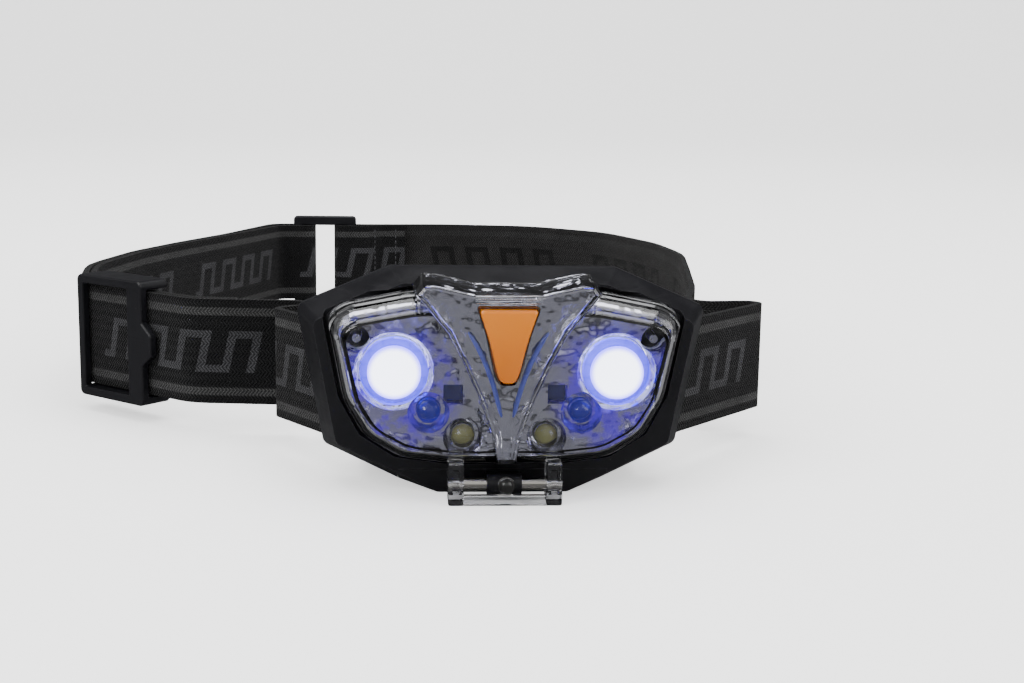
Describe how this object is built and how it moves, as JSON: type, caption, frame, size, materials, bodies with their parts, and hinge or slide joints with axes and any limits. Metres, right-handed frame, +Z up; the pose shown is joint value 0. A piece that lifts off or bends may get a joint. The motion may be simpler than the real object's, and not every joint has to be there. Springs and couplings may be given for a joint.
{
  "type": "headlamp",
  "caption": "Headlamp with a tilting clear-fronted lamp head, amber push button and rear battery case on an adjustable elastic headband.",
  "frame": {"origin": "centre of the lamp's flat standing face", "axes": "+Z up, the lamp faces -Y, +X to the right seen from the front"},
  "size_m": [0.1706, 0.2362, 0.0466],
  "materials": {
    "black_plastic": "fine satin moulded",
    "clear_cover": "clear polished plastic",
    "bright_plating": "bright vacuum plating",
    "amber_button": "gloss",
    "webbing": "woven elastic, black with grey stripes",
    "foam": "soft closed-cell foam",
    "steel": "zinc plated",
    "pin_metal": "smooth",
    "contact_metal": "nickel plated spring steel",
    "cell_wrap": "gloss printed wrap",
    "board": "white solder mask",
    "main_light": "clear optic, lit blue-white",
    "led_base": "white body with phosphor",
    "blue_led": "clear epoxy, blue light",
    "clear_led": "clear epoxy",
    "blue_window": "tinted",
    "blue_guide": "tinted clear"
  },
  "bodies": {
    "base": {"front_bezel": "black_plastic", "hinge_block": "black_plastic", "rear_case": "black_plastic", "case_screws": "steel", "battery_lower": "cell_wrap", "battery_middle": "cell_wrap", "battery_upper": "cell_wrap", "contacts_left": "contact_metal", "contacts_right": "contact_metal", "battery_springs": "contact_metal", "indicator_led": "clear_led", "door_pin": "steel", "strap_long": "webbing", "strap_short": "webbing", "rear_ring": "black_plastic"},
    "head": {"front_lens": "clear_cover", "head_back": "black_plastic", "head_screws": "steel", "circuit_board": "board", "reflector": "bright_plating", "tact_switch": "steel", "hinge_pin": "pin_metal", "main_lens_left": "main_light", "main_lens_right": "main_light", "main_ring_left": "bright_plating", "main_ring_right": "bright_plating", "main_led_left": "led_base", "main_led_right": "led_base", "blue_led_left": "blue_led", "blue_led_right": "blue_led", "white_led_left": "clear_led", "white_led_right": "clear_led", "window_left": "blue_window", "window_right": "blue_window", "light_guide_left": "blue_guide", "light_guide_right": "blue_guide"},
    "button": {"button": "amber_button"},
    "door": {"battery_door": "black_plastic", "forehead_pad": "foam"},
    "slider": {"strap_slider": "black_plastic"}
  },
  "joints": [
    {"name": "head_tilt", "type": "hinge", "parent": "base", "child": "head", "pos_m": [0, -0.017, 0.0032], "axis": [1, 0, 0], "range_deg": [0, 45]},
    {"name": "button_press", "type": "slide", "parent": "head", "child": "button", "axis": [0, 1, 0], "range_m": [0, 0.0008], "stiffness_N_per_m": 500, "springref_m": -0.0005},
    {"name": "door_open", "type": "hinge", "parent": "base", "child": "door", "pos_m": [0, 0.0156, 0.0399], "axis": [1, 0, 0], "range_deg": [0, 100]},
    {"name": "slider_slide", "type": "slide", "parent": "base", "child": "slider", "axis": [0.7547, -0.6559, 0.0163], "range_m": [0, 0.008]}
  ]
}
